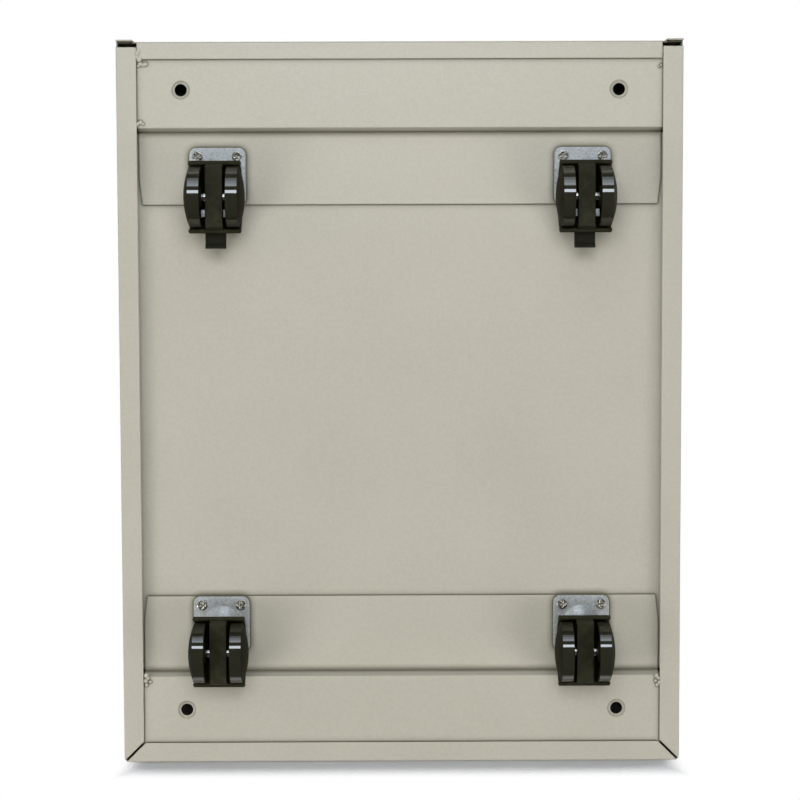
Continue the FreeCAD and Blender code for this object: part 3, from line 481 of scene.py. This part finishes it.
def plastic_skin(tree, shader, colour, worn, clean_roughness, dusty_roughness, grain_depth, edge):
    """Spark-eroded grain, dusty patches and softly rounded edges."""
    point = object_point(tree)
    grain = noise(tree, point, GRAIN_SIZE, detail=2.0)
    dust = noise(tree, point, DUST_SIZE, detail=4.0, roughness=0.65)
    tone = blend_colour(tree, spread(tree, dust, 0, 1, DUST_SHOWS_FROM, DUST_SHOWS_AT), colour, worn)
    rough = spread(tree, dust, clean_roughness, dusty_roughness, DUST_DULLS_FROM, DUST_DULLS_AT)
    tree.links.new(tone, shader.inputs["Base Color"])
    tree.links.new(rough, shader.inputs["Roughness"])
    tree.links.new(relief(tree, grain, grain_depth, rounded_edges(tree, edge)), shader.inputs["Normal"])


MOULDING_EDGE = 0.5 * MM
MOULDING_DUST_DULLS = 0.12


def moulded(name, colour, worn, shine, grain_depth, gloss_index):
    """A dull moulding."""
    material, tree, shader = new_material(name)
    plastic_skin(
        tree, shader, colour, worn, shine, shine + MOULDING_DUST_DULLS, grain_depth, MOULDING_EDGE,
    )
    shader.inputs["IOR"].default_value = gloss_index
    return material


WHEEL_ROUGHNESS = (0.62, 0.72)
WHEEL_GRAIN_DEPTH = 0.010 * MM
WHEEL_EDGE = 0.35 * MM
WHEEL_GLOSS_INDEX = 1.20
TREAD_SLOPE_START = 0.05
TREAD_SLOPE_END = 0.16
TREAD_ROUGHNESS = 0.05
TREAD_GLOSS_INDEX = 2.20
TREAD_REACH = 200 * MM
TREAD_CLOSED = 0.89
TREAD_OPEN = 0.97


def wheel_moulding(name, colour, worn):
    """Dull wheels whose treads are polished by rolling: the gloss stays where the skin faces outward."""
    material, tree, shader = new_material(name)
    plastic_skin(tree, shader, colour, worn, *WHEEL_ROUGHNESS, WHEEL_GRAIN_DEPTH, WHEEL_EDGE)
    facing = tree.nodes.new("ShaderNodeTexCoord").outputs["Normal"]
    sideways = size_of(tree, part_of(tree, facing, "X"))
    tread = spread(tree, fade(tree, sideways, TREAD_SLOPE_START, TREAD_SLOPE_END), 1, 0)
    free = fade(tree, openness(tree, TREAD_REACH), TREAD_CLOSED, TREAD_OPEN)
    tree.links.new(maths(tree, "MULTIPLY", tread, free), shader.inputs["Coat Weight"])
    shader.inputs["IOR"].default_value = WHEEL_GLOSS_INDEX
    shader.inputs["Coat Roughness"].default_value = TREAD_ROUGHNESS
    shader.inputs["Coat IOR"].default_value = TREAD_GLOSS_INDEX
    return material


# Cast iron of the counterweight

PIT_SIZE = 1.5 * MM
PIT_DEPTH = 0.25 * MM
STAIN_SIZE = 25 * MM
STAIN_FROM = 0.35
STAIN_AT = 0.7
IRON_COLOUR = (0.016, 0.016, 0.017)
STAIN_COLOUR = (0.030, 0.027, 0.024)
IRON_ROUGHNESS = (0.55, 0.8)
IRON_EDGE = 1.0 * MM
IRON_METAL = 0.6


def cast_iron(name):
    material, tree, shader = new_material(name)
    point = object_point(tree)
    pit = noise(tree, point, PIT_SIZE, detail=5.0, roughness=0.7)
    stain = noise(tree, point, STAIN_SIZE, detail=4.0, roughness=0.6)
    stained = spread(tree, stain, 0, 1, STAIN_FROM, STAIN_AT)
    tree.links.new(blend_colour(tree, stained, IRON_COLOUR, STAIN_COLOUR), shader.inputs["Base Color"])
    tree.links.new(spread_noise(tree, pit, *IRON_ROUGHNESS), shader.inputs["Roughness"])
    tree.links.new(relief(tree, pit, PIT_DEPTH, rounded_edges(tree, IRON_EDGE)), shader.inputs["Normal"])
    shader.inputs["Metallic"].default_value = IRON_METAL
    return material


# The finish of each material slot in the record

BOX_SHADE = 0.96

finishes = {
    "case_paint": powder_coat("case_powder_coat", PUTTY),
    "front_paint": powder_coat("front_powder_coat", PUTTY),
    "box_paint": smooth_coat("box_coat", scaled(PUTTY, BOX_SHADE)),
    "galvanised_steel": zinc(
        "galvanised_spangle",
        colour=(0.60, 0.62, 0.64),
        passivated=(0.62, 0.66, 0.68),
        grain=9 * MM,
        shine=0.32,
        dark=0.80,
        light=1.12,
        dent=0.012 * MM,
        edge=0.4 * MM,
        metal=1.0,
    ),
    "zinc_plate": zinc(
        "zinc_plating",
        colour=(0.62, 0.655, 0.675),
        passivated=(0.58, 0.63, 0.66),
        grain=1.1 * MM,
        shine=0.30,
        dark=0.68,
        light=1.12,
        dent=0.06 * MM,
        edge=0.8 * MM,
        metal=0.50,
    ),
    "zinc_screw": zinc(
        "screw_plating",
        colour=(0.84, 0.82, 0.75),
        passivated=(0.74, 0.72, 0.62),
        grain=1.2 * MM,
        shine=0.12,
        dark=0.80,
        light=1.05,
        dent=0.01 * MM,
        edge=1.1 * MM,
        metal=1.0,
    ),
    "bright_steel": bare_metal(
        "ground_steel",
        colour=(0.78, 0.78, 0.76),
        shine=0.14,
        line_depth=0.006 * MM,
    ),
    "lock_chrome": bare_metal(
        "polished_chrome",
        colour=(0.80, 0.81, 0.82),
        shine=0.05,
        line_depth=0.001 * MM,
    ),
    "housing_plastic": moulded(
        "housing_moulding",
        colour=(0.0175, 0.0172, 0.0065),
        worn=(0.037, 0.0365, 0.021),
        shine=0.50,
        grain_depth=0.040 * MM,
        gloss_index=1.32,
    ),
    "pedal_plastic": moulded(
        "pedal_moulding",
        colour=(0.008, 0.008, 0.003),
        worn=(0.014, 0.014, 0.007),
        shine=0.55,
        grain_depth=0.025 * MM,
        gloss_index=1.30,
    ),
    "wheel_plastic": wheel_moulding(
        "wheel_moulding",
        colour=(0.0125, 0.0124, 0.0045),
        worn=(0.020, 0.0198, 0.009),
    ),
    "counterweight_iron": cast_iron("counterweight_iron_skin"),
}


def dress_nodes():
    """Each CAD node takes the finish of its slot in the record."""
    slot_of = {row["node"]: row["material_slot"] for row in frame["record"]["subparts"]}
    for name, node in nodes.items():
        finish = finishes[slot_of[name]]
        if not node.material_slots:
            node.data.materials.append(finish)
        for place in node.material_slots:
            place.material = finish


# Pieces that the CAD source leaves to the looks

def mesh_piece(name, build, body, slot):
    """A mesh filled by build, that rides on a body and wears the finish of a slot."""
    mesh = bpy.data.meshes.new(name)
    shape = bmesh.new()
    build(shape)
    shape.to_mesh(mesh)
    shape.free()
    for face in mesh.polygons:
        face.use_smooth = True
    mesh.materials.append(finishes[slot])
    piece = bpy.data.objects.new(name, mesh)
    bpy.context.scene.collection.objects.link(piece)
    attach(piece, body)


# Each weld has its middle, the radius of its drops and the place of each drop from the middle, in
# millimetres, as read from the photograph

WELDS = {
    "front_left_corner_weld": ((-175.6, -236.0, 41.6), 2.1, ((0, 0), (0.8, -1.8), (-0.6, 2.2), (1.2, 4.0))),
    "front_left_rail_weld": ((-173.9, -229.0, 42.1), 1.9, ((0, 0), (2.1, 0.7), (-1.2, 1.4), (3.6, 0.2))),
    "front_left_plate_weld": ((-174.0, -190.1, 42.1), 1.8, ((0, 0), (-1.6, 0.5), (1.7, 1.2), (-2.4, 1.2))),
    "front_right_corner_weld": ((175.4, -235.6, 41.8), 1.3, ((0, 0), (-0.4, 1.8))),
    "front_right_rail_weld": ((175.1, -227.4, 42.1), 1.1, ((0, 0), (-1.3, 1.0))),
    "rear_left_plate_weld": (
        (-174.8, 185.4, 41.9), 1.8, ((0, 0), (1.3, 1.8), (2.9, 4.4), (-0.2, 3.6), (0.4, 6.4)),
    ),
    "rear_right_plate_weld": (
        (174.3, 186.8, 41.9), 1.8, ((0, 0), (1.4, 1.6), (-0.5, 3.4), (2.2, 4.6), (0.6, 6.2)),
    ),
}
WELD_HEIGHT = 1.1
DROP_SIZES = 3
DROP_SHRINKS_BY = 0.13
DROP_SUBDIVISIONS = 3


def weld_bead(shape, centre, radius, drops):
    """A puddle of weld under paint: overlapping flattened drops of a few sizes."""
    for index, (x, y) in enumerate(drops):
        size = radius * (1 - DROP_SHRINKS_BY * (index % DROP_SIZES))
        spot = (Vector(centre) + Vector((x, y, 0))) * MM
        flatten = Matrix.Diagonal((size * MM, size * MM, WELD_HEIGHT * size / radius * MM, 1))
        place = Matrix.Translation(spot) @ flatten
        bmesh.ops.create_icosphere(shape, subdivisions=DROP_SUBDIVISIONS, radius=1, matrix=place)


def make_welds():
    for name, (centre, radius, drops) in WELDS.items():
        mesh_piece(name, lambda shape: weld_bead(shape, centre, radius, drops), "case", "case_paint")


BRAKED_CASTERS = ("front_left", "front_right")
SPRING_FROM_WEB = 7.3 * MM
SPRING_BEHIND_AXLE = 11.0 * MM
SPRING_HEIGHT = 18.4 * MM
SPRING_SIZE = (2.8 * MM, 5.0 * MM, 1.0 * MM)
SPRING_ROUNDING = 0.3 * MM
SPRING_ROUNDING_STEPS = 3


def middle_of(node):
    corners = [node.matrix_world @ Vector(corner) for corner in node.bound_box]
    return sum(corners, Vector()) / len(corners)


def spring_end(shape, spot):
    """A short strip with rounded edges."""
    size = Matrix.Diagonal((*SPRING_SIZE, 1))
    bmesh.ops.create_cube(shape, size=1, matrix=Matrix.Translation(spot) @ size)
    bmesh.ops.bevel(
        shape, geom=shape.edges[:], offset=SPRING_ROUNDING, segments=SPRING_ROUNDING_STEPS, profile=0.5,
        affect="EDGES",
    )


def make_brake_springs():
    """The two ends of the brake's leaf spring, which show in the gaps beside the web."""
    for caster in BRAKED_CASTERS:
        axle = middle_of(nodes[f"{caster}_caster_axle"])
        for side, sign in (("left", -1), ("right", 1)):
            spot = Vector((axle.x + sign * SPRING_FROM_WEB, axle.y + SPRING_BEHIND_AXLE, SPRING_HEIGHT))
            name = f"{caster}_brake_spring_{side}"
            mesh_piece(name, lambda shape: spring_end(shape, spot), f"{caster}_swivel", "zinc_plate")


# Stage: two floors, each seen only from its front and neither in the way of the light

def stage_plane(name, corners, material):
    mesh = bpy.data.meshes.new(name)
    mesh.from_pydata(corners, [], [tuple(range(len(corners)))])
    mesh.materials.append(material)
    plane = bpy.data.objects.new(name, mesh)
    bpy.context.scene.collection.objects.link(plane)
    plane.visible_shadow = False
    plane.visible_diffuse = False
    plane.visible_glossy = False


def new_floor_material(name):
    """A material without its usual shader, and a plain matt paint to go into it."""
    material, tree, shader = new_material(name)
    tree.nodes.remove(shader)
    return material, tree, tree.nodes.new("ShaderNodeBsdfDiffuse")


def show_from_front(tree, shown):
    """shown from the front, and nothing from behind."""
    facing = tree.nodes.new("ShaderNodeNewGeometry")
    clear = tree.nodes.new("ShaderNodeBsdfTransparent")
    surface = mixed(tree, facing.outputs["Backfacing"], shown, clear.outputs[0])
    tree.links.new(surface, tree.nodes["Material Output"].inputs["Surface"])


FLOOR_HALF = 12.0
FLOOR_COLOUR = (0.86, 0.86, 0.86)
# Painted contact shadow under the cabinet: its colour, its reach and the openness where it ends
PAINTED_CONTACT_SHADOW = (0.10, 0.10, 0.10)
CONTACT_SHADOW_REACH = 0.25
CONTACT_SHADOW_OPEN = 0.75
FLOOR_FADE_START = 0.6
FLOOR_FADE_END = 1.9


def make_standing_floor():
    """The floor of an upright cabinet: pale, with a painted contact shadow close under the cabinet, and pure
    white far away.
    """
    material, tree, paint = new_floor_material("standing_floor")
    # Painted shadow: the floor's colour turns dark where the cabinet closes it in
    out_of_contact_shadow = fade(tree, openness(tree, CONTACT_SHADOW_REACH), 0, CONTACT_SHADOW_OPEN)
    tree.links.new(blend_colour(tree, out_of_contact_shadow, PAINTED_CONTACT_SHADOW, FLOOR_COLOUR), paint.inputs["Color"])
    glow = tree.nodes.new("ShaderNodeEmission")
    glow.inputs["Color"].default_value = (*NEUTRAL_WHITE, 1)
    length = tree.nodes.new("ShaderNodeVectorMath")
    length.operation = "LENGTH"
    tree.links.new(object_point(tree), length.inputs[0])
    far = fade(tree, length.outputs["Value"], FLOOR_FADE_START, FLOOR_FADE_END)
    show_from_front(tree, mixed(tree, far, paint.outputs[0], glow.outputs[0]))
    half = FLOOR_HALF
    corners = [(-half, -half, 0), (half, -half, 0), (half, half, 0), (-half, half, 0)]
    stage_plane("standing_floor", corners, material)


LYING_FLOOR_Y = 0.2462
# Grey of the lying floor, which together with its fade paints how dark the shadow near the case is, on top of
# real light
LYING_FLOOR_SHADOW_GREY = (0.70, 0.716, 0.76)
LYING_FLOOR_HALF = 0.5
LYING_FLOOR_LOW = -0.3
LYING_FLOOR_HIGH = 0.060
CASE_BOTTOM = 0.041
SHADOW_START = 0.004
SHADOW_REACH = 0.046
SHADOW_SIDE_START = 0.174
SHADOW_SIDE_END = 0.196


def make_lying_floor():
    """The floor that the photographed cabinet lies on: a grey sheet near the case that takes real light and
    shade, and fades out with distance, painting the shadow's falloff.
    """
    material, tree, paint = new_floor_material("lying_floor")
    paint.inputs["Color"].default_value = (*LYING_FLOOR_SHADOW_GREY, 1)
    clear = tree.nodes.new("ShaderNodeBsdfTransparent")
    point = object_point(tree)
    # Painted shadow: the grey floor fades to clear with distance ahead of and beside the case, so this mask
    # shapes the shadow's falloff
    ahead = maths(tree, "SUBTRACT", CASE_BOTTOM, part_of(tree, point, "Z"))
    aside = size_of(tree, part_of(tree, point, "X"))
    past_painted_shadow = highest(
        tree,
        fade(tree, ahead, SHADOW_START, SHADOW_REACH),
        fade(tree, aside, SHADOW_SIDE_START, SHADOW_SIDE_END),
    )
    show_from_front(tree, mixed(tree, past_painted_shadow, paint.outputs[0], clear.outputs[0]))
    half = LYING_FLOOR_HALF
    corners = [
        (-half, LYING_FLOOR_Y, LYING_FLOOR_HIGH),
        (-half, LYING_FLOOR_Y, LYING_FLOOR_LOW),
        (half, LYING_FLOOR_Y, LYING_FLOOR_LOW),
        (half, LYING_FLOOR_Y, LYING_FLOOR_HIGH),
    ]
    stage_plane("lying_floor", corners, material)


bpy.context.scene.view_settings.view_transform = "Standard"
make_camera()
make_photo_lamps()
make_standing_lamps()
make_world()
dress_nodes()
make_welds()
make_brake_springs()
make_standing_floor()
make_lying_floor()
